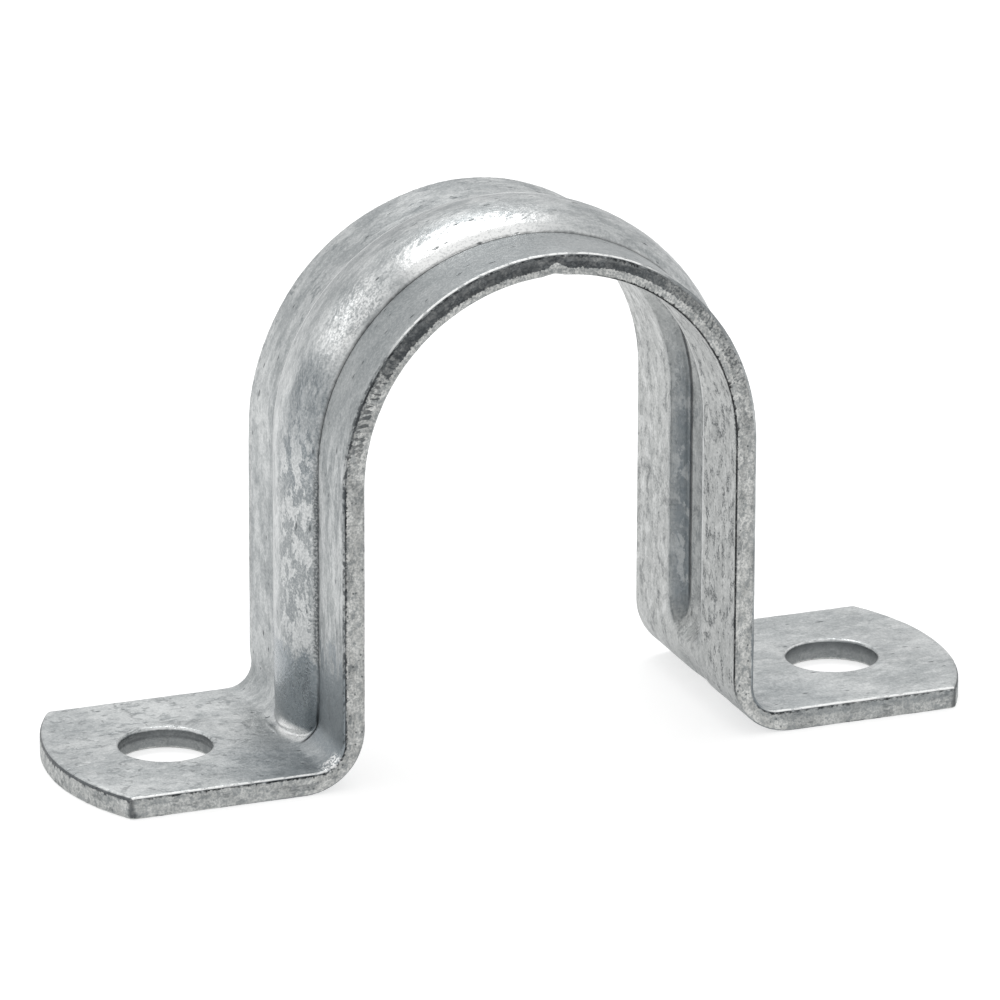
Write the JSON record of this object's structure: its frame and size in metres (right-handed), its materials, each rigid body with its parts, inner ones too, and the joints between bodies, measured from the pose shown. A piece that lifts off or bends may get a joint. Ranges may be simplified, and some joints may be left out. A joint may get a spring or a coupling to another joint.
{
  "type": "conduit clip",
  "caption": "Pressed steel saddle for conduit, with a half-round arch on tall straight legs, a pressed rib over the outside, and flat feet with round ends, each with a fixing hole.",
  "frame": {"origin": "on the wall face, midway between the feet and in the middle of the strip's width", "axes": "+X from foot to foot, +Y along the conduit, +Z away from the wall"},
  "size_m": [0.082, 0.0224, 0.0472],
  "materials": {
    "zinc_coated_steel": "hot-dip zinc coating, matt to satin, mottled pale and mid grey"
  },
  "bodies": {
    "root": {"conduit_clip": "zinc_coated_steel"}
  },
  "joints": []
}
